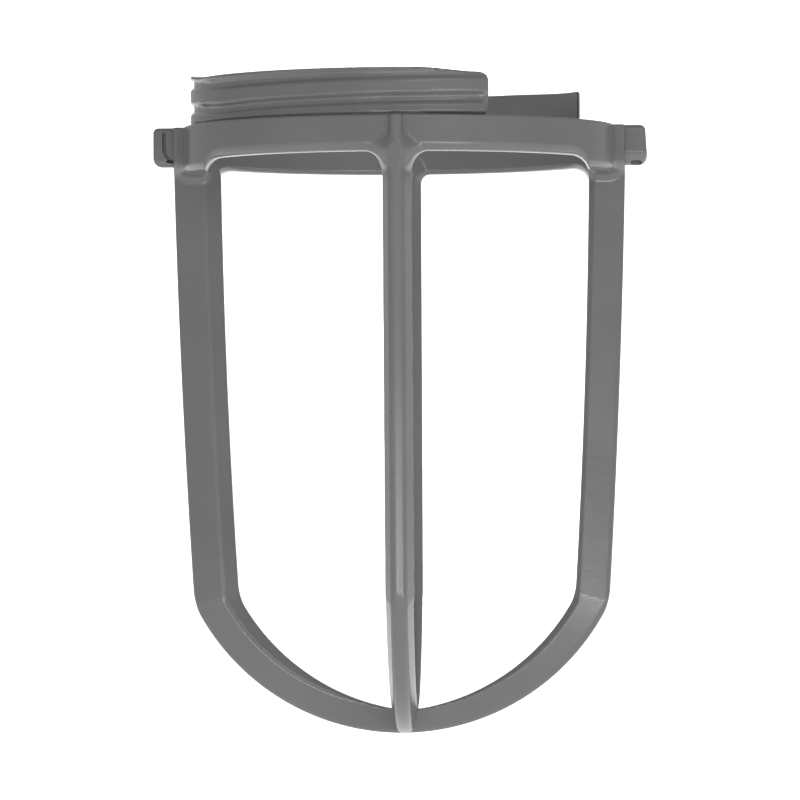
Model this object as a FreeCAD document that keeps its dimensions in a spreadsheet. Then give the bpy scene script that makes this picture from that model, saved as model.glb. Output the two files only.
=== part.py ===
"""Threaded lamp guard: an interrupted threaded collar on a ring band, four ribs that turn in under
the lamp's globe to meet at a crown, and two lugs that each hold a lock screw.

The frame: millimetres, +Z up along the collar's axis. The origin is on the axis in the shoulder plane,
which is the ring band's top face. The front rib is on -Y, the right rib on +X. Depths are measured
down from the shoulder plane.
"""

import math
import os

import FreeCAD, Part
import Sketcher

# Driving dimensions, in millimetres and degrees. Each name is an alias in the sheet.
SIZES = {
    # threaded collar
    "thread_crest": 54.8,
    "thread_root": 53.9,
    "thread_pitch": 6.35,
    "ridge_base_half": 2.6,
    "ridge_crest_half": 1.5,
    "ridge_bury": 0.7,
    "ridge_start_depth": 6.2,
    "collar_inner": 51.4,
    "front_collar_height": 11.9,
    "rear_collar_height": 11.0,
    "front_collar_sweep": 126.0,
    "front_collar_start": -190.0,
    "rear_collar_sweep": 112.0,
    "rear_collar_start": 30.0,
    # ring band
    "ring_outer": 56.7,
    "ring_inner": 50.8,
    "ring_depth": 9.5,
    "ring_lip": 1.6,
    # upright ribs: radii of the outer and inner edges at the shoulder plane and at the elbow
    "rib_width": 7.5,
    "rib_chamfer": 1.9,
    "rib_outer_top": 59.2,
    "rib_outer_elbow": 54.2,
    "rib_outer_bow": 2860.0,
    "rib_inner_top": 48.15,
    "rib_inner_elbow": 43.75,
    "rib_inner_bow": 2200.0,
    "elbow_depth": 124.4,
    # the cores stand a little off centre, so the left rib is deeper than the right one
    "core_shift": 1.4,
    # and the front and rear ribs stand a little to the right of the axis
    "front_shift": 0.75,
    # arms of the dome, under the elbows
    "dome_outer_arc": 60.3,
    "dome_inner_arc": 56.6,
    "dome_depth": 158.2,
    "dome_inner_depth": 152.2,
    "crown": 5.2,
    # lugs and their lock screws
    "lug_start": 59.25,
    "lug_end": 64.6,
    "lug_half_width": 4.5,
    "lug_depth": 10.7,
    "lug_corner": 1.8,
    "screw_axis": 61.85,
    "screw_bore": 1.5,
    "screw": 1.46,
    "screw_length": 6.0,
    "screw_tip_depth": 2.6,
    "socket_flat": 0.8,
    "socket_depth": 2.2,
}

# Each rib's name, the angle it stands at, which way the core's shift moves its inner edge, and which
# way along its own normal it stands off the axis.
RIBS = (("right", 0.0, 1, 0), ("rear", 90.0, 0, 1), ("left", 180.0, -1, 0), ("front", -90.0, 0, -1))

LUGS = (("right", 0.0), ("left", 180.0))

# An outer long edge of a rib or an arm is longer than this, and no other edge is.
LONG_EDGE = 45.0
RIDGE_TURNS = 4
TINY = 1e-4
NOTHING = (0.0, "")

doc = FreeCAD.newDocument("lamp_guard")
sheet = doc.addObject("Spreadsheet::Sheet", "dims")


def fill_sheet():
    for row, (alias, value) in enumerate(SIZES.items(), start=1):
        sheet.set(f"A{row}", alias)
        sheet.set(f"B{row}", str(value))
        sheet.setAlias(f"B{row}", alias)
    doc.recompute()


def length(alias, shift=0):
    """A sheet length with its number and its formula, moved by the core's shift where that is asked."""
    number = SIZES[alias] + shift * SIZES["core_shift"]
    formula = f"dims.{alias}"
    if shift:
        formula = f"{formula} + {shift} * dims.core_shift"
    return number, formula


def turned(angle):
    """The placement that turns a piece about the axis by an angle."""
    return FreeCAD.Placement(FreeCAD.Vector(0, 0, 0), FreeCAD.Rotation(FreeCAD.Vector(0, 0, 1), angle))


def new_body(label):
    body = doc.addObject("PartDesign::Body", label)
    body.Label = label
    return body


def new_sketch(body, role, name):
    sketch = body.newObject("Sketcher::SketchObject", f"{body.Label}_{name}")
    plane = next(f for f in body.Origin.OriginFeatures if f.Role == role)
    sketch.AttachmentSupport = [(plane, "")]
    sketch.MapMode = "FlatFace"
    return sketch


def bind(sketch, constraint, formula):
    """Adds a constraint whose size follows the sheet."""
    index = sketch.addConstraint(constraint)
    sketch.setExpression(f"Constraints[{index}]", formula)


def pin(sketch, edge, end, corner):
    """Holds one end of an edge at a radius from the axis and a depth under the shoulder plane."""
    (radius, radius_formula), (depth, depth_formula) = corner
    if abs(radius) < TINY:
        sketch.addConstraint(Sketcher.Constraint("PointOnObject", edge, end, -2))
    else:
        bind(sketch, Sketcher.Constraint("DistanceX", -1, 1, edge, end, radius), radius_formula)
    if abs(depth) < TINY:
        sketch.addConstraint(Sketcher.Constraint("PointOnObject", edge, end, -1))
    else:
        bind(sketch, Sketcher.Constraint("DistanceY", edge, end, -1, 1, depth), depth_formula)


def arc_between(start, end, radius):
    """The shorter arc of a radius from start to end that bulges away from the axis and downwards."""
    middle = (start + end) * 0.5
    chord = end - start
    rise = math.sqrt(radius**2 - (chord.Length / 2) ** 2)
    across = FreeCAD.Vector(-chord.y, chord.x, 0).normalize()
    if across.x > 0:
        across = across * -1
    centre = middle + across * rise
    top = centre - across * radius
    return Part.Arc(start, top, end)


def draw_outline(sketch, corners, arcs):
    """A closed outline through corners, each a radius and a depth. arcs gives the bend of the edge that
    starts at a corner, by its index; every other edge is straight."""
    places = [FreeCAD.Vector(radius[0], -depth[0], 0) for radius, depth in corners]
    count = len(places)
    for index, start in enumerate(places):
        end = places[(index + 1) % count]
        if index in arcs:
            sketch.addGeometry(arc_between(start, end, arcs[index][0]), False)
        else:
            sketch.addGeometry(Part.LineSegment(start, end), False)
    # An arc may be kept the other way round, so each edge's first end is looked up.
    first_ends = [
        1 if (sketch.getPoint(index, 1) - place).Length < TINY else 2
        for index, place in enumerate(places)
    ]
    for index in range(count):
        following = (index + 1) % count
        last_end = 3 - first_ends[index]
        sketch.addConstraint(
            Sketcher.Constraint("Coincident", index, last_end, following, first_ends[following])
        )
    for index, corner in enumerate(corners):
        pin(sketch, index, first_ends[index], corner)
    for index, (radius, formula) in arcs.items():
        bind(sketch, Sketcher.Constraint("Radius", index, radius), formula)


def spin(body, sketch, kind, name):
    """Turns a sketch once round the body's axis, as a Revolution or a Groove."""
    feature = body.newObject(f"PartDesign::{kind}", f"{body.Label}_{name}")
    feature.Profile = sketch
    feature.ReferenceAxis = (sketch, ["V_Axis"])
    feature.Angle = 360.0
    sketch.Visibility = False
    return feature


def clear_disc(body, name, radius, top, bottom):
    """Cuts away everything within a radius of the axis, between two depths."""
    sketch = new_sketch(body, "XZ_Plane", f"{name}_outline")
    corners = [(NOTHING, top), (radius, top), (radius, bottom), (NOTHING, bottom)]
    draw_outline(sketch, corners, {})
    before = body.Tip.Shape.Volume
    cut = spin(body, sketch, "Groove", name)
    doc.recompute()
    if cut.Shape.Volume > before - TINY:
        raise RuntimeError(f"{body.Label}: {name} cut nothing")


def long_edges(shape, middle, half_width):
    """The names of the long edges on the two flat sides of a padded rib."""
    names = []
    for number, edge in enumerate(shape.Edges, start=1):
        box = edge.BoundBox
        on_side = abs(abs(box.YMin - middle) - half_width) < TINY and box.YLength < TINY
        if on_side and edge.Length > LONG_EDGE:
            names.append(f"Edge{number}")
    return names


def pad_rib(body, sketch, aside):
    """Pads a rib's side outline to its width, both ways, and bevels its four long edges. aside says
    which way the rib stands off the axis."""
    sketch.setExpression("AttachmentOffset.Base.z", f"{aside} * dims.front_shift")
    pad = body.newObject("PartDesign::Pad", f"{body.Label}_pad")
    pad.Profile = sketch
    pad.Midplane = True
    pad.setExpression("Length", "dims.rib_width")
    sketch.Visibility = False
    doc.recompute()
    bevel = body.newObject("PartDesign::Chamfer", f"{body.Label}_bevel")
    middle = -aside * SIZES["front_shift"]
    bevel.Base = (pad, long_edges(pad.Shape, middle, SIZES["rib_width"] / 2))
    bevel.setExpression("Size", "dims.rib_chamfer")
    doc.recompute()


def build_ring():
    """The band that the ribs hang from."""
    body = new_body("ring_band")
    sketch = new_sketch(body, "XZ_Plane", "outline")
    inner, outer, depth = length("ring_inner"), length("ring_outer"), length("ring_depth")
    draw_outline(sketch, [(inner, NOTHING), (outer, NOTHING), (outer, depth), (inner, depth)], {})
    ring = spin(body, sketch, "Revolution", "band")
    doc.recompute()
    rims = []
    for number, edge in enumerate(ring.Shape.Edges, start=1):
        box = edge.BoundBox
        at_foot = abs(box.ZMin + SIZES["ring_depth"]) < TINY and box.ZLength < TINY
        if at_foot and abs(box.XMax - SIZES["ring_outer"]) < TINY:
            rims.append(f"Edge{number}")
    lip = body.newObject("PartDesign::Fillet", "ring_band_lip")
    lip.Base = (ring, rims)
    lip.setExpression("Radius", "dims.ring_lip")
    return body


def build_upright(name, angle, shift, aside):
    """A rib from the shoulder plane down to its elbow, standing proud of the ring band."""
    body = new_body(f"{name}_rib")
    sketch = new_sketch(body, "XZ_Plane", "outline")
    elbow = length("elbow_depth")
    corners = [
        (length("rib_outer_top"), NOTHING),
        (length("rib_outer_elbow"), elbow),
        (length("rib_inner_elbow", shift), elbow),
        (length("rib_inner_top", shift), NOTHING),
    ]
    draw_outline(sketch, corners, {0: length("rib_outer_bow"), 2: length("rib_inner_bow")})
    pad_rib(body, sketch, aside)
    clear_disc(body, "seat", length("ring_outer"), NOTHING, length("ring_depth"))
    body.Placement = turned(angle)
    return body


def build_arm(name, angle, shift, aside):
    """A rib's lower part, from its elbow to the crown."""
    body = new_body(f"{name}_arm")
    sketch = new_sketch(body, "XZ_Plane", "outline")
    elbow = length("elbow_depth")
    corners = [
        (length("rib_outer_elbow"), elbow),
        (NOTHING, length("dome_depth")),
        (NOTHING, length("dome_inner_depth")),
        (length("rib_inner_elbow", shift), elbow),
    ]
    draw_outline(sketch, corners, {0: length("dome_outer_arc"), 2: length("dome_inner_arc")})
    pad_rib(body, sketch, aside)
    clear_disc(body, "crown_seat", length("crown"), elbow, length("dome_depth"))
    body.Placement = turned(angle)
    return body


def build_crown():
    """The hub where the four arms meet, with the dome's roundness underneath."""
    hub = doc.addObject("Part::Cylinder", "crown_hub")
    hub.setExpression("Radius", "dims.crown")
    hub.setExpression("Height", "dims.dome_depth - dims.dome_inner_depth")
    hub.setExpression("Placement.Base.z", "-dims.dome_depth")
    dome = doc.addObject("Part::Sphere", "crown_dome")
    dome.Placement = FreeCAD.Placement(
        FreeCAD.Vector(0, 0, 0), FreeCAD.Rotation(FreeCAD.Vector(1, 0, 0), 90)
    )
    dome.setExpression("Radius", "dims.dome_outer_arc")
    dome.setExpression("Placement.Base.z", "dims.dome_outer_arc - dims.dome_depth")
    crown = doc.addObject("Part::Common", "crown")
    crown.Label = "crown"
    crown.Base = hub
    crown.Tool = dome
    return crown


def build_ridge():
    """The collar's helical ridge, longer than the collar at both ends."""
    path = doc.addObject("Part::Helix", "thread_path")
    path.setExpression("Pitch", "dims.thread_pitch")
    path.setExpression("Height", f"dims.thread_pitch * {RIDGE_TURNS}")
    path.setExpression("Radius", "dims.thread_root")
    section = doc.addObject("Sketcher::SketchObject", "thread_section")
    section.Placement = FreeCAD.Placement(
        FreeCAD.Vector(0, 0, 0), FreeCAD.Rotation(FreeCAD.Vector(1, 0, 0), 90)
    )
    bury = SIZES["thread_root"] - SIZES["ridge_bury"]
    crest = SIZES["thread_crest"]
    base_half, crest_half = SIZES["ridge_base_half"], SIZES["ridge_crest_half"]
    corners = (
        (bury, -base_half, "dims.thread_root - dims.ridge_bury", "dims.ridge_base_half"),
        (crest, -crest_half, "dims.thread_crest", "dims.ridge_crest_half"),
        (crest, crest_half, "dims.thread_crest", "dims.ridge_crest_half"),
        (bury, base_half, "dims.thread_root - dims.ridge_bury", "dims.ridge_base_half"),
    )
    places = [FreeCAD.Vector(radius, height, 0) for radius, height, _, _ in corners]
    for index, start in enumerate(places):
        section.addGeometry(Part.LineSegment(start, places[(index + 1) % 4]), False)
    for index in range(4):
        section.addConstraint(Sketcher.Constraint("Coincident", index, 2, (index + 1) % 4, 1))
    for index, (radius, height, radius_formula, height_formula) in enumerate(corners):
        bind(section, Sketcher.Constraint("DistanceX", -1, 1, index, 1, radius), radius_formula)
        ends = (index, 1, -1, 1) if height < 0 else (-1, 1, index, 1)
        bind(section, Sketcher.Constraint("DistanceY", *ends, abs(height)), height_formula)
    doc.recompute()
    ridge = doc.addObject("Part::Sweep", "thread_ridge")
    ridge.Sections = [section]
    ridge.Spine = (path, [f"Edge{n}" for n in range(1, len(path.Shape.Edges) + 1)])
    ridge.Solid = True
    ridge.Frenet = True
    ridge.Placement = turned(-90.0)
    ridge.setExpression("Placement.Base.z", "-dims.ridge_start_depth")
    doc.recompute()
    return ridge


def build_sector(name, part_name, outer):
    """A sector of a tube, from the collar's bore out to a radius."""
    outside = doc.addObject("Part::Cylinder", f"{name}_{part_name}_outside")
    outside.setExpression("Radius", f"dims.{outer}")
    outside.setExpression("Height", f"dims.{name}_height")
    outside.setExpression("Angle", f"dims.{name}_sweep")
    outside.Placement = turned(SIZES[f"{name}_start"])
    inside = doc.addObject("Part::Cylinder", f"{name}_{part_name}_inside")
    inside.setExpression("Radius", "dims.collar_inner")
    inside.setExpression("Height", f"dims.{name}_height")
    sector = doc.addObject("Part::Cut", f"{name}_{part_name}")
    sector.Base = outside
    sector.Tool = inside
    return sector


def build_collar(name, ridge):
    """One of the two threaded segments: a wall at the root radius with the ridge's turns on it."""
    turns = doc.addObject("Part::Common", f"{name}_turns")
    turns.Base = ridge
    turns.Tool = build_sector(name, "reach", "ring_outer")
    segment = doc.addObject("Part::Fuse", name)
    segment.Label = name
    segment.Base = build_sector(name, "wall", "thread_root")
    segment.Tool = turns
    return segment


def build_lug(name, angle):
    """The block outside a side rib, with the lock screw's bore down through it."""
    body = new_body(f"{name}_lug")
    sketch = new_sketch(body, "XY_Plane", "outline")
    start, end, half = SIZES["lug_start"], SIZES["lug_end"], SIZES["lug_half_width"]
    places = [
        FreeCAD.Vector(start, -half, 0),
        FreeCAD.Vector(end, -half, 0),
        FreeCAD.Vector(end, half, 0),
        FreeCAD.Vector(start, half, 0),
    ]
    for index, place in enumerate(places):
        sketch.addGeometry(Part.LineSegment(place, places[(index + 1) % 4]), False)
    for index in range(4):
        sketch.addConstraint(Sketcher.Constraint("Coincident", index, 2, (index + 1) % 4, 1))
    for index, kind in enumerate(("Horizontal", "Vertical", "Horizontal", "Vertical")):
        sketch.addConstraint(Sketcher.Constraint(kind, index))
    bind(sketch, Sketcher.Constraint("DistanceX", -1, 1, 0, 1, start), "dims.lug_start")
    bind(sketch, Sketcher.Constraint("DistanceX", -1, 1, 1, 1, end), "dims.lug_end")
    bind(sketch, Sketcher.Constraint("DistanceY", 0, 1, -1, 1, half), "dims.lug_half_width")
    bind(sketch, Sketcher.Constraint("DistanceY", -1, 1, 2, 1, half), "dims.lug_half_width")
    block = body.newObject("PartDesign::Pad", f"{name}_lug_block")
    block.Profile = sketch
    block.Reversed = True
    block.setExpression("Length", "dims.lug_depth")
    doc.recompute()
    corners = []
    for number, edge in enumerate(block.Shape.Edges, start=1):
        box = edge.BoundBox
        if box.ZLength > SIZES["lug_depth"] / 2 and abs(box.XMax - end) < TINY:
            corners.append(f"Edge{number}")
    rounded = body.newObject("PartDesign::Fillet", f"{name}_lug_corners")
    rounded.Base = (block, corners)
    rounded.setExpression("Radius", "dims.lug_corner")
    doc.recompute()
    mouth = new_sketch(body, "XY_Plane", "bore_outline")
    draw_circle(mouth, "screw_bore")
    bore = body.newObject("PartDesign::Pocket", f"{name}_lug_bore")
    bore.Profile = mouth
    bore.Type = "ThroughAll"
    bore.Midplane = True
    doc.recompute()
    if bore.Shape.Volume > rounded.Shape.Volume - TINY:
        raise RuntimeError(f"{name}_lug: the bore cut nothing")
    body.Placement = turned(angle)
    return body


def draw_circle(sketch, radius):
    """A circle on the lock screw's axis."""
    centre = FreeCAD.Vector(SIZES["screw_axis"], 0, 0)
    sketch.addGeometry(Part.Circle(centre, FreeCAD.Vector(0, 0, 1), SIZES[radius]), False)
    sketch.addConstraint(Sketcher.Constraint("PointOnObject", 0, 3, -1))
    bind(sketch, Sketcher.Constraint("DistanceX", -1, 1, 0, 3, SIZES["screw_axis"]), "dims.screw_axis")
    bind(sketch, Sketcher.Constraint("Radius", 0, SIZES[radius]), f"dims.{radius}")


def build_screw(name, angle):
    """A headless lock screw, with its hexagon socket at the lower end."""
    shank = doc.addObject("Part::Cylinder", f"{name}_screw_shank")
    shank.setExpression("Radius", "dims.screw")
    shank.setExpression("Height", "dims.screw_length")
    socket = doc.addObject("Part::Prism", f"{name}_screw_socket")
    socket.Polygon = 6
    socket.setExpression("Circumradius", "dims.socket_flat / cos(30)")
    socket.setExpression("Height", "dims.socket_depth")
    screw = doc.addObject("Part::Cut", f"{name}_lock_screw")
    screw.Label = f"{name}_lock_screw"
    screw.Base = shank
    screw.Tool = socket
    at_rest = FreeCAD.Vector(
        SIZES["screw_axis"] * math.cos(math.radians(angle)),
        0,
        -SIZES["screw_tip_depth"] - SIZES["screw_length"],
    )
    screw.Placement = FreeCAD.Placement(at_rest, FreeCAD.Rotation())
    return screw


def check_document():
    doc.recompute()
    for item in doc.Objects:
        if "Invalid" in item.State or "Error" in item.State:
            raise RuntimeError(f"{item.Name} failed: {item.State}")


def write_parts(parts):
    os.makedirs("parts", exist_ok=True)
    for part in parts:
        shape = part.Shape
        if shape.isNull() or not shape.isValid() or not shape.Solids:
            raise RuntimeError(f"{part.Label} has no valid solid")
    for part in parts:
        part.Shape.exportStep(os.path.join("parts", f"{part.Label}.step"))
        print(part.Label, round(part.Shape.Volume, 1), len(part.Shape.Solids))


fill_sheet()
thread_ridge = build_ridge()
guard = [build_collar("front_collar", thread_ridge), build_collar("rear_collar", thread_ridge)]
guard.append(build_ring())
for rib in RIBS:
    guard.append(build_upright(*rib))
    guard.append(build_arm(*rib))
guard.append(build_crown())
for lug_name, lug_angle in LUGS:
    guard.append(build_lug(lug_name, lug_angle))
    guard.append(build_screw(lug_name, lug_angle))
check_document()
write_parts(guard)
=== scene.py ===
"""Looks for the threaded lamp guard: a grey enamelled casting with two steel lock screws.

The casting's surface is worked out from a distance field in millimetres, in the CAD's own frame: +Z up
the collar's axis, the origin in the shoulder plane, the front rib on -Y and the right rib on +X. The
field joins ring band, ribs, arms and collar with the fillets that a casting has.
"""

import math

import bpy
import numpy as np
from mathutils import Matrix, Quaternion, Vector


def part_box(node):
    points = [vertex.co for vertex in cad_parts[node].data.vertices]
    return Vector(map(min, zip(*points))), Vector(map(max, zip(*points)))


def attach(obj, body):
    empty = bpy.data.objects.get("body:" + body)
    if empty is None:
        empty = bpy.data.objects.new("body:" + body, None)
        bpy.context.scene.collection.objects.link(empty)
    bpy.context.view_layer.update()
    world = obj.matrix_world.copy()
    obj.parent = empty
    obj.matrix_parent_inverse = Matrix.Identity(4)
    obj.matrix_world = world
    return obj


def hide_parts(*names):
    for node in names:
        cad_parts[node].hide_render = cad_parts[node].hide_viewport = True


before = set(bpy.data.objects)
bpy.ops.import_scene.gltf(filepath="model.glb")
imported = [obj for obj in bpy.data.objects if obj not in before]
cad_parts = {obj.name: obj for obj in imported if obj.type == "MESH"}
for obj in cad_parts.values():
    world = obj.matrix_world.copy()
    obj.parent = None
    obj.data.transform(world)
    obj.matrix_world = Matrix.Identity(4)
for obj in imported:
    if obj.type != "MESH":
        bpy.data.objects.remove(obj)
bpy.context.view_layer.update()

MM = 0.001

# Collar thread. Angles are measured from the front rib, positive towards the right rib.
THREAD_CREST = 54.5
THREAD_DEPTH = 0.95
THREAD_PITCH = 6.35
RIDGE_HEIGHT = 7.3
RIDGE_CREST_HALF = 1.3
RIDGE_BASE_HALF = 2.8
GROOVE_FADE = 2.4
COLLAR_INNER = 51.4
COLLAR_EDGE = 0.55
END_DRAFT = 0.2
END_DRAFT_HEIGHT = 4.0
FRONT_COLLAR_SPAN = (-100, 26.5)
REAR_COLLAR_SPAN = (120, 232)
FRONT_COLLAR_CORNER = 2.4
REAR_COLLAR_CORNER = 0.9
# The rear collar's end faces are cut straight across instead of towards the axis.
REAR_COLLAR_SKEW = 1.9
RELIEF_DEPTH = 0.8
RELIEF_HEIGHT = 0.6
RELIEF_LEFT_SHARE = 0.35

# Ring band
RING_OUTER = 56.7
RING_INNER = 50.8
RING_DEPTH = 9.1
REAR_DROP = 0.65
RING_LIP = 2.2
RING_INNER_LIP = 1.2
RING_EDGE = 0.5
# The window's top corners are round seen from the front, so the ring hangs lower beside the side ribs.
CORNER_START = 45.0
CORNER_ROUND = 4.5
CORNER_DROP = 3.2
REAR_DROP_REACH = 20

# Ribs: radii of the outer and inner edges at the shoulder plane and at the elbow. CORE_SHIFT is how far the
# casting's inside stands to the right, and FRONT_SHIFT how far the front and rear ribs do.
OUTER_TOP = 59.2
OUTER_ELBOW = 54.2
INNER_TOP = 48.15
INNER_ELBOW = 43.75
ELBOW = 124.4
OUTER_BOW = 2860.0
INNER_BOW = 2200.0
CORE_SHIFT = 1.4
FRONT_SHIFT = 0.75
CREST_HALF = 1.83
CREST_HALF_ON_RING = 1.3
SIDE_CREST_HALF_ON_RING = 6.5
SHOULDER_BOTTOM = -13.0
SHOULDER_TOP = -9.5
FLANK_SLOPE = 0.24
FLANK_DEPTH = 8.1
FLANK_HALF = 3.75
INNER_HALF = 1.5
CREST_ROUND = 1.3
FLANK_ROUND = 0.45
INNER_ROUND = 0.5
RIB_TOP_SLANT = 1.2
RIB_TOP_ROUND = 1.5

# Dome under the elbows: radius, centre's radius and centre's depth of each arc
OUTER_ARC = (60.3, 0.0, 97.9)
FLANK_ARC = (52.2, 0.0, 99.2)
INNER_ARC = (56.6, -6.2, 96.0)
OUTER_BEND = 1.3
INNER_BEND = 1.2

# Fillets where the ribs join
FRONT_FILLET = 6.0
REAR_FILLET = 3.4
SIDE_FILLET = 2.5
RING_FACE_FILLET = 1.1
FOOT_FILLET = 0.5
# Depths between which the fillet on the ring's face turns into the window's
FILLET_CHANGE = (4.0, 9.5)

# Lugs
LUG_START = 58.2
LUG_END = 64.2
RIGHT_LUG_DRAFT = 0.06
LUG_TOP_ROUND = 1.4
LUG_BOTTOM_ROUND = 2.4
LUG_EDGE = 0.7
LUG_HALF = 4.5
LUG_DEPTH = 10.3
LUG_FRONT_DEPTH = 7.6
LUG_SLANT = math.radians(28.0)
LUG_CORNER = 1.5
BORE_AXIS = 61.85
BORE_RADIUS = 1.5
BORE_EDGE = 0.2

# The hooked seam on the left lug: the middle of its bend, then its radius, top and inner end
SEAM_BEND = (57.55, -5.3)
SEAM_ROUND = 3.7
SEAM_TOP = -1.6
SEAM_END = 59.4
SEAM_HALF = 0.33
SEAM_DEPTH = 0.9
SEAM_EDGE = 0.15
# The deep pit at the seam's inner end
PIT_MIDDLE = (SEAM_END + 0.3, -8.8)
PIT_STRETCH = 2.2
PIT_HALF = 0.42
PIT_DEPTH = 3.0

# Lock screws
SCREW_RADIUS = 1.46
SCREW_LENGTH = 6.0
SCREW_CHAMFER = 0.3
CUP_RADIUS = 0.75
THREAD_CUT = 0.16
SCREW_PITCH = 0.5
SOCKET_FLAT = 0.8
SOCKET_DEPTH = 2.2


def join(a, b, radius):
    """The union of two fields, with a concave fillet."""
    reach = np.hypot(np.maximum(radius - a, 0), np.maximum(radius - b, 0))
    return np.maximum(radius, np.minimum(a, b)) - reach


def meet(a, b, radius):
    """What two fields share, with a rounded edge."""
    reach = np.hypot(np.maximum(radius + a, 0), np.maximum(radius + b, 0))
    return np.minimum(-radius, np.maximum(a, b)) + reach


def ease(value, start, end):
    """0 before start and 1 after end, with a smooth step between."""
    t = np.clip((value - start) / (end - start), 0, 1)
    return t * t * (3 - 2 * t)


def inside_line(u, depth, top, elbow, bow):
    """How far a point lies inside a rib's edge, which bows outwards between its two ends."""
    slope = (top - elbow) / ELBOW
    middle = ELBOW / 2
    bulge = (middle**2 - (depth - middle) ** 2) / (2 * bow)
    return (top - slope * depth + bulge - u) / math.hypot(1, slope)


def inside_arc(u, depth, arc):
    """How far a point lies inside a dome arc, carried straight up above the arc's centre."""
    radius, centre, centre_depth = arc
    return radius - np.hypot(u - centre, np.maximum(depth - centre_depth, 0))


def rib_field(u, v, z, shift, half_on_ring):
    """A rib and its arm in one: u is the distance from the axis and v is across the rib. shift moves its
    inner edge, and half_on_ring is half its crest's width where it stands on the ring."""
    depth = -z
    outside = meet(
        -inside_line(u, depth, OUTER_TOP, OUTER_ELBOW, OUTER_BOW),
        -inside_arc(u, depth, OUTER_ARC),
        OUTER_BEND,
    )
    void = meet(
        -inside_line(u - shift, depth, INNER_TOP, INNER_ELBOW, INNER_BOW),
        -inside_arc(u - shift, depth, INNER_ARC),
        INNER_BEND,
    )
    past_flank = np.minimum(
        inside_line(u, depth, OUTER_TOP - FLANK_DEPTH, OUTER_ELBOW - FLANK_DEPTH, OUTER_BOW),
        inside_arc(u, depth, FLANK_ARC),
    )
    bevel_depth = OUTER_TOP - INNER_TOP - FLANK_DEPTH - shift
    bevel_slope = (FLANK_HALF - INNER_HALF) / bevel_depth
    crest_half = CREST_HALF + (half_on_ring - CREST_HALF) * ease(z, SHOULDER_BOTTOM, SHOULDER_TOP)
    flank = (np.abs(v) - crest_half + FLANK_SLOPE * outside) / math.hypot(1, FLANK_SLOPE)
    bevel = (np.abs(v) - FLANK_HALF + bevel_slope * past_flank) / math.hypot(1, bevel_slope)
    section = meet(meet(outside, flank, CREST_ROUND), meet(-void, bevel, INNER_ROUND), FLANK_ROUND)
    inner_top = (z + RING_DEPTH - RIB_TOP_SLANT * (u - INNER_TOP)) / math.hypot(1, RIB_TOP_SLANT)
    return meet(section, inner_top, RIB_TOP_ROUND)


def ring_field(radius, x, y, z):
    """The ring band, with its rounded lower lip."""
    into_corner = np.clip(np.abs(x) - CORNER_START, 0, CORNER_ROUND)
    drop = np.minimum(CORNER_ROUND - np.sqrt(CORNER_ROUND**2 - into_corner**2), CORNER_DROP)
    under = -z - RING_DEPTH - drop - REAR_DROP * ease(y, -REAR_DROP_REACH, REAR_DROP_REACH)
    band = meet(radius - RING_OUTER, under, RING_LIP)
    return np.maximum(band, meet(RING_INNER - radius, under, RING_INNER_LIP))


def collar_field(radius, angle, z, span, height, lift, corner, skew):
    """A threaded segment over a span of degrees. lift raises its thread, corner rounds its upper corners,
    and skew turns its end faces away from the radial direction."""
    start, end = span
    middle = math.radians((start + end) / 2)
    half = math.radians((end - start) / 2)
    away = np.abs((angle - middle + math.pi) % (2 * math.pi) - math.pi)
    draft = END_DRAFT * np.maximum(END_DRAFT_HEIGHT - z, 0)
    past_end = (away - half) * radius - skew * (THREAD_CREST - radius) + draft
    turns = (z - lift - RIDGE_HEIGHT) / THREAD_PITCH - angle / (2 * math.pi)
    from_ridge = np.abs((turns + 0.5) % 1 - 0.5) * THREAD_PITCH
    fade = ease(-past_end, 0, GROOVE_FADE)
    groove = ease(from_ridge, RIDGE_CREST_HALF, RIDGE_BASE_HALF) * fade
    # The groove at the thread's foot is deeper right of the front rib.
    relief_share = RELIEF_LEFT_SHARE + (1 - RELIEF_LEFT_SHARE) * ease(angle, 0.1, 0.2)
    relief = RELIEF_DEPTH * relief_share * np.exp(-((z / RELIEF_HEIGHT) ** 2))
    outside = radius - THREAD_CREST + np.maximum(THREAD_DEPTH * groove, relief)
    wall = meet(outside, COLLAR_INNER - radius, COLLAR_EDGE)
    ends = meet(z - height, past_end, corner)
    return np.maximum(meet(wall, ends, COLLAR_EDGE), -z - RING_DEPTH / 2)


def front_collar_field(radius, angle, z):
    """The front segment, whose top and thread rise towards its left end."""
    height = 12.1 + 1.9 * ease(-angle, 1.15, 1.7) - 1.0 * ease(angle, 0.1, 0.42)
    lift = 2.5 * ease(-angle, 0.9, 1.65)
    return collar_field(radius, angle, z, FRONT_COLLAR_SPAN, height, lift, FRONT_COLLAR_CORNER, 0)


def rear_collar_field(radius, angle, z):
    """The rear segment, a little higher at its right end."""
    height = 11.0 - 0.5 * ease(-angle, -2.6, -2.1)
    return collar_field(radius, angle, z, REAR_COLLAR_SPAN, height, 0, REAR_COLLAR_CORNER, REAR_COLLAR_SKEW)


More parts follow.
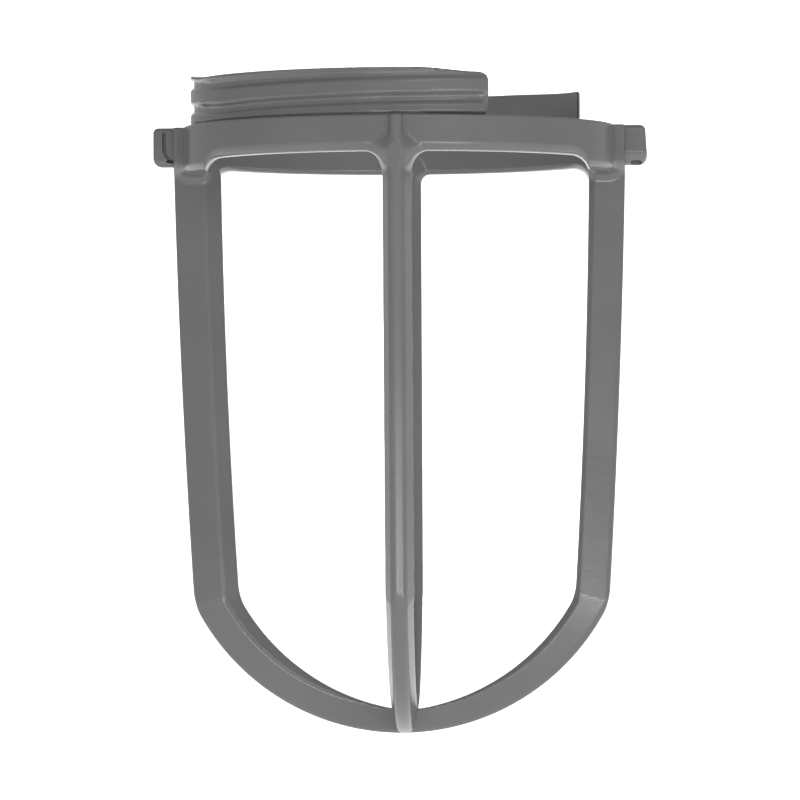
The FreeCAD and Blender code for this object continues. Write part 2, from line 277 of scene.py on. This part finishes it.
def cage_field(points):
    """The whole casting without its lugs."""
    x, y, z = points
    radius = np.hypot(x, y)
    angle = np.arctan2(x, -y)
    ribs = None
    for turn in range(4):
        cosine, sine = round(math.cos(turn * math.pi / 2)), round(math.sin(turn * math.pi / 2))
        across = x - FRONT_SHIFT * abs(sine)
        u = across * cosine + y * sine
        v = y * cosine - across * sine
        half_on_ring = SIDE_CREST_HALF_ON_RING if cosine else CREST_HALF_ON_RING
        rib = rib_field(u, v, z, CORE_SHIFT * cosine, half_on_ring)
        rib = np.maximum(rib, -1 - u)
        ribs = rib if ribs is None else join(ribs, rib, FOOT_FILLET)
    window_fillet = np.where(y < 0, FRONT_FILLET, REAR_FILLET)
    window_fillet = np.where(np.abs(x) > np.abs(y), SIDE_FILLET, window_fillet)
    fillet = RING_FACE_FILLET + (window_fillet - RING_FACE_FILLET) * ease(-z, *FILLET_CHANGE)
    rim = -inside_line(radius, -z, OUTER_TOP, OUTER_ELBOW, OUTER_BOW)
    envelope = np.maximum(rim, -inside_arc(radius, -z, OUTER_ARC))
    body = meet(np.maximum(join(ring_field(radius, x, y, z), ribs, fillet), envelope), z, RING_EDGE)
    collars = np.minimum(front_collar_field(radius, angle, z), rear_collar_field(radius, angle, z))
    return np.minimum(body, collars)


def field_slope(field, points):
    """The field's gradient, one axis at a time."""
    step = 0.01
    slope = np.empty_like(points)
    for axis in range(3):
        offset = np.zeros((3, 1))
        offset[axis] = step
        slope[axis] = (field(points + offset) - field(points - offset)) / (2 * step)
    return slope


def settle(field, points, rounds):
    """Moves points onto the field's surface."""
    for _ in range(rounds):
        slope = field_slope(field, points)
        points = points - field(points) * slope / np.maximum((slope**2).sum(0), 0.05)
    return points


def spread(points, quads):
    """Moves each point towards the middle of the faces round it, so the faces come out even."""
    centres = points[:, quads].mean(2)
    total = np.zeros_like(points)
    count = np.zeros(points.shape[1])
    for corner in range(4):
        np.add.at(count, quads[:, corner], 1)
        for axis in range(3):
            np.add.at(total[axis], quads[:, corner], centres[axis])
    return (points + total / np.maximum(count, 1)) / 2


def planes(*spans):
    """Grid planes along one axis, from spans of start, end and spacing."""
    runs = [np.linspace(a, b, max(2, round((b - a) / step) + 1))[:-1] for a, b, step in spans]
    return np.concatenate([*runs, [spans[-1][1]]])


def surface(field, axes):
    """The field's zero surface as points, quads and normals, found on a grid of planes."""
    xs, ys, zs = axes
    shape = tuple(len(a) for a in axes)
    values = np.empty(shape, np.float32)
    plane_x, plane_y = np.meshgrid(xs, ys, indexing="ij")
    for k, z in enumerate(zs):
        values[:, :, k] = field((plane_x, plane_y, np.full_like(plane_x, z)))
    solid = values < 0
    corners = [(i, j, k) for i in (0, 1) for j in (0, 1) for k in (0, 1)]
    filled = sum(
        solid[i : shape[0] - 1 + i, j : shape[1] - 1 + j, k : shape[2] - 1 + k].astype(np.uint8)
        for i, j, k in corners
    )
    cells = np.argwhere((filled > 0) & (filled < 8))
    number = np.full(filled.shape, -1, np.int32)
    number[tuple(cells.T)] = np.arange(len(cells))
    total = np.zeros((3, len(cells)))
    count = np.zeros(len(cells))
    for corner in corners:
        for axis in range(3):
            if corner[axis]:
                continue
            other = list(corner)
            other[axis] = 1
            low = cells + corner
            high = cells + other
            a = values[tuple(low.T)].astype(float)
            b = values[tuple(high.T)].astype(float)
            crosses = (a < 0) != (b < 0)
            share = np.where(crosses, a / np.where(crosses, a - b, 1), 0)
            for n in range(3):
                start = axes[n][low[:, n]]
                total[n] += np.where(crosses, start + share * (axes[n][high[:, n]] - start), 0)
            count += crosses
    points = total / count
    quads = []
    for axis in range(3):
        side_a, side_b = (axis + 1) % 3, (axis + 2) % 3
        low = [slice(None)] * 3
        high = [slice(None)] * 3
        low[axis] = slice(0, shape[axis] - 1)
        high[axis] = slice(1, shape[axis])
        below, above = solid[tuple(low)], solid[tuple(high)]
        edges = np.argwhere(below != above)
        edges = edges[(edges[:, side_a] > 0) & (edges[:, side_b] > 0)]
        step_a = np.eye(3, dtype=int)[side_a]
        step_b = np.eye(3, dtype=int)[side_b]
        ring = [edges - step_a - step_b, edges - step_b, edges, edges - step_a]
        quad = np.stack([number[tuple(cell.T)] for cell in ring], 1)
        leaves = below[tuple(edges.T)]
        quads.append(np.where(leaves[:, None], quad, quad[:, ::-1]))
    quads = np.concatenate(quads)
    points = settle(field, points, 2)
    for _ in range(3):
        points = settle(field, spread(points, quads), 1)
    points = settle(field, points, 2)
    slope = field_slope(field, points)
    return points, quads, slope / np.maximum(np.sqrt((slope**2).sum(0)), 1e-6)


def make_piece(name, points, quads, normals):
    """A mesh object in metres, shaded by the field's own normals."""
    mesh = bpy.data.meshes.new(name)
    mesh.from_pydata((points.T * MM).tolist(), [], quads.tolist())
    mesh.shade_smooth()
    mesh.normals_split_custom_set_from_vertices(normals.T.tolist())
    piece = bpy.data.objects.new(name, mesh)
    bpy.context.scene.collection.objects.link(piece)
    return piece


def finish_piece(piece, body, material, names):
    """Gives a piece its material, hangs it under the empty of the body that carries it, and hides the CAD
    nodes it stands for.
    """
    piece.data.materials.append(material)
    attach(piece, body)
    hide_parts(*names)


def lug_field(points, draft=RIGHT_LUG_DRAFT):
    """The right lug, with its slanting underside at the front and the lock screw's bore."""
    u, v, z = points
    end = meet(u - LUG_END + draft * z, -z - LUG_DEPTH, LUG_BOTTOM_ROUND)
    block = meet(meet(end, np.abs(v) - LUG_HALF, LUG_CORNER), z, LUG_TOP_ROUND)
    slant = (-z - LUG_FRONT_DEPTH) * math.cos(LUG_SLANT) - (v + LUG_HALF) * math.sin(LUG_SLANT)
    block = np.maximum(meet(block, slant, LUG_EDGE), LUG_START - u)
    return meet(block, BORE_RADIUS - np.hypot(u - BORE_AXIS, v), BORE_EDGE)


def left_lug_field(points):
    """The left lug is the right one turned half round, with a hooked seam on its front face."""
    x, y, z = points
    u, v = -x, -y
    arc_reach = np.abs(np.hypot(u - SEAM_BEND[0], z - SEAM_BEND[1]) - SEAM_ROUND)
    straight = np.hypot(u - SEAM_BEND[0] - SEAM_ROUND, np.maximum(z - SEAM_TOP, 0))
    on_arc = (z < SEAM_BEND[1]) & (u > SEAM_END)
    past = np.hypot(u - SEAM_END, z - SEAM_BEND[1] + SEAM_ROUND)
    seam = np.where(z >= SEAM_BEND[1], straight, np.where(on_arc, arc_reach, past)) - SEAM_HALF
    seam = np.maximum(seam, LUG_HALF - SEAM_DEPTH - v)
    pit = np.hypot((u - PIT_MIDDLE[0]) / PIT_STRETCH, z - PIT_MIDDLE[1]) - PIT_HALF
    pit = np.maximum(pit, LUG_HALF - PIT_DEPTH - v)
    block = lug_field((u, v, z), 0.0)
    return meet(meet(block, -seam, SEAM_EDGE), -pit, SEAM_EDGE)


def build_lugs(material):
    """Both lugs, each on a fine grid of its own."""
    up = planes((-11.4, 0.6, 0.25))
    across = planes((-5.0, 5.0, 0.25))
    sides = (
        ("right", lug_field, (LUG_START - 0.5, LUG_END + 1.5, 0.25)),
        ("left", left_lug_field, (-LUG_END - 1.5, 0.5 - LUG_START, 0.25)),
    )
    for side, field, span in sides:
        piece = make_piece(f"{side}_lug_casting", *surface(field, (planes(span), across, up)))
        finish_piece(piece, "guard", material, [f"{side}_lug"])


def screw_field(points):
    """A set screw about its own axis: hexagon socket at the foot, cup at the tip."""
    x, y, z = points
    radius = np.hypot(x, y)
    turns = z / SCREW_PITCH - np.arctan2(y, x) / (2 * math.pi)
    cut = THREAD_CUT * (1 - 2 * np.abs((turns + 0.5) % 1 - 0.5))
    # The thread's flanks are steep, so the field is scaled down to stay near a distance.
    shank = (radius - SCREW_RADIUS + cut) * 0.8
    chamfer = (radius + np.abs(z) - SCREW_LENGTH / 2 - SCREW_RADIUS + SCREW_CHAMFER) * math.sqrt(0.5)
    shank = np.maximum(np.maximum(shank, np.abs(z) - SCREW_LENGTH / 2), chamfer)
    flats = [np.abs(x * math.cos(a) + y * math.sin(a)) for a in (0, math.pi / 3, 2 * math.pi / 3)]
    socket = np.maximum(np.maximum.reduce(flats) - SOCKET_FLAT, z + SCREW_LENGTH / 2 - SOCKET_DEPTH)
    cup = (radius - z + SCREW_LENGTH / 2 - CUP_RADIUS) * math.sqrt(0.5)
    return np.maximum(np.maximum(shank, -socket), -cup)


def build_screws(material):
    """The two lock screws, where the CAD's stand."""
    across = planes((-1.6, 1.6, 0.1))
    up = planes((-3.1, 3.1, 0.083))
    points, quads, normals = surface(screw_field, (across, across, up))
    for side in ("right", "left"):
        low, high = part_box(f"{side}_lock_screw")
        middle = np.array((low + high) / 2).reshape(3, 1) / MM
        piece = make_piece(f"{side}_set_screw", points + middle, quads, normals)
        finish_piece(piece, f"{side}_screw", material, [f"{side}_lock_screw"])


def build_cage(material):
    """The casting without its lugs, on a grid that is finest at the thread."""
    across = planes((-61.2, 61.2, 0.66))
    up = planes((-159.6, -118.0, 0.74), (-118.0, -16.0, 2.0), (-16.0, -1.5, 0.6), (-1.5, 2.0, 0.35))
    up = np.concatenate([up, planes((2.0, 15.2, 0.55))[1:]])
    piece = make_piece("guard_casting", *surface(cage_field, (across, across, up)))
    names = ["front_collar", "rear_collar", "ring_band", "crown"]
    names += [f"{side}_{part}" for side in ("right", "rear", "left", "front") for part in ("rib", "arm")]
    finish_piece(piece, "guard", material, names)


def enamel():
    """Grey enamel sprayed on a casting: glossy, with a faint orange peel."""
    material = bpy.data.materials.new("enamel_paint")
    material.use_nodes = True
    nodes, links = material.node_tree.nodes, material.node_tree.links
    shader = nodes["Principled BSDF"]
    place = nodes.new("ShaderNodeTexCoord")
    tone = nodes.new("ShaderNodeTexNoise")
    tone.inputs["Scale"].default_value = 45.0
    tone.inputs["Detail"].default_value = 5.0
    links.new(place.outputs["Object"], tone.inputs["Vector"])
    ramp = nodes.new("ShaderNodeValToRGB")
    ramp.color_ramp.elements[0].position = 0.3
    ramp.color_ramp.elements[0].color = (0.126, 0.126, 0.128, 1)
    ramp.color_ramp.elements[1].position = 0.7
    ramp.color_ramp.elements[1].color = (0.140, 0.140, 0.140, 1)
    links.new(tone.outputs["Fac"], ramp.inputs["Fac"])
    links.new(ramp.outputs["Color"], shader.inputs["Base Color"])
    gloss = nodes.new("ShaderNodeMapRange")
    gloss.inputs["To Min"].default_value = 0.16
    gloss.inputs["To Max"].default_value = 0.27
    links.new(tone.outputs["Fac"], gloss.inputs["Value"])
    links.new(gloss.outputs["Result"], shader.inputs["Roughness"])
    peel = nodes.new("ShaderNodeTexNoise")
    peel.inputs["Scale"].default_value = 420.0
    peel.inputs["Detail"].default_value = 2.0
    links.new(place.outputs["Object"], peel.inputs["Vector"])
    bump = nodes.new("ShaderNodeBump")
    bump.inputs["Strength"].default_value = 0.25
    bump.inputs["Distance"].default_value = 0.00012
    links.new(peel.outputs["Fac"], bump.inputs["Height"])
    links.new(bump.outputs["Normal"], shader.inputs["Normal"])
    return material


def steel():
    """Turned steel of the lock screws, with fine marks round the thread."""
    material = bpy.data.materials.new("turned_steel")
    material.use_nodes = True
    nodes, links = material.node_tree.nodes, material.node_tree.links
    shader = nodes["Principled BSDF"]
    shader.inputs["Metallic"].default_value = 1.0
    place = nodes.new("ShaderNodeTexCoord")
    stretch = nodes.new("ShaderNodeMapping")
    stretch.inputs["Scale"].default_value = (1, 1, 14)
    links.new(place.outputs["Object"], stretch.inputs["Vector"])
    marks = nodes.new("ShaderNodeTexNoise")
    marks.inputs["Scale"].default_value = 900.0
    marks.inputs["Detail"].default_value = 4.0
    links.new(stretch.outputs["Vector"], marks.inputs["Vector"])
    tint = nodes.new("ShaderNodeValToRGB")
    tint.color_ramp.elements[0].color = (0.16, 0.155, 0.15, 1)
    tint.color_ramp.elements[1].color = (0.34, 0.335, 0.33, 1)
    links.new(marks.outputs["Fac"], tint.inputs["Fac"])
    links.new(tint.outputs["Color"], shader.inputs["Base Color"])
    gloss = nodes.new("ShaderNodeMapRange")
    gloss.inputs["To Min"].default_value = 0.28
    gloss.inputs["To Max"].default_value = 0.5
    links.new(marks.outputs["Fac"], gloss.inputs["Value"])
    links.new(gloss.outputs["Result"], shader.inputs["Roughness"])
    return material


def add_camera():
    """The main camera: a long lens in front of the object, a little to the right and low."""
    turn = math.radians(1.61)
    distance = 1.619
    height = -0.097
    roll = math.radians(-0.33)
    camera_data = bpy.data.cameras.new("camera")
    camera_data.sensor_width = 36.0
    camera_data.lens = 279.0
    camera_data.clip_end = 20.0
    camera = bpy.data.objects.new("camera", camera_data)
    bpy.context.scene.collection.objects.link(camera)
    camera.location = (math.sin(turn) * distance, -math.cos(turn) * distance, height)
    target = Vector((-0.0002, 0, -0.0713))
    camera.rotation_mode = "QUATERNION"
    level = (target - camera.location).to_track_quat("-Z", "Y")
    camera.rotation_quaternion = level @ Quaternion((0, 0, 1), roll)
    bpy.context.scene.camera = camera


def add_light(name, place, size, power):
    """A soft rectangular light that faces the middle of the object."""
    middle = Vector((0, 0, -0.07))
    data = bpy.data.lights.new(name, "AREA")
    data.shape = "RECTANGLE"
    data.size, data.size_y = size
    data.energy = power
    light = bpy.data.objects.new(name, data)
    bpy.context.scene.collection.objects.link(light)
    light.location = place
    light.rotation_mode = "QUATERNION"
    light.rotation_quaternion = (middle - Vector(place)).to_track_quat("-Z", "Y")


def add_board(name, corners, glow):
    """A flat white board of the studio, which isn't part of the object."""
    mesh = bpy.data.meshes.new(name)
    mesh.from_pydata(corners, [], [tuple(range(len(corners)))])
    board = bpy.data.objects.new(name, mesh)
    bpy.context.scene.collection.objects.link(board)
    paper = bpy.data.materials.new(name)
    paper.use_nodes = True
    shader = paper.node_tree.nodes["Principled BSDF"]
    shader.inputs["Base Color"].default_value = (0.9, 0.9, 0.9, 1)
    shader.inputs["Roughness"].default_value = 0.9
    shader.inputs["Emission Color"].default_value = (1, 1, 1, 1)
    shader.inputs["Emission Strength"].default_value = glow
    mesh.materials.append(paper)


def add_studio():
    """A pale floor, a white wall far behind the object, and soft light."""
    world = bpy.data.worlds.new("studio")
    world.use_nodes = True
    world.node_tree.nodes["Background"].inputs["Color"].default_value = (1, 1, 1, 1)
    world.node_tree.nodes["Background"].inputs["Strength"].default_value = 0.5
    bpy.context.scene.world = world
    bpy.context.scene.view_settings.view_transform = "Standard"
    low, side, back, half, top = -0.30, 6.0, 3.4, 0.8, 0.8
    floor = [(-side, -side, low), (side, -side, low), (side, side, low), (-side, side, low)]
    wall = [(-half, back, low), (half, back, low), (half, back, top), (-half, back, top)]
    add_board("floor", floor, 0.6)
    add_board("white_wall", wall, 0.9)
    add_light("front_box", (0.45, -1.30, 0.55), (0.9, 0.5), 2.7)
    add_light("low_box", (0.10, -1.20, -0.27), (0.9, 0.10), 2.0)
    add_light("low_right_strip", (0.46, -0.77, -0.26), (0.30, 0.07), 0.8)
    add_light("low_front_strip", (-0.08, -0.90, -0.26), (0.18, 0.05), 0.25)


grey_enamel = enamel()
build_cage(grey_enamel)
build_lugs(grey_enamel)
build_screws(steel())
add_camera()
add_studio()
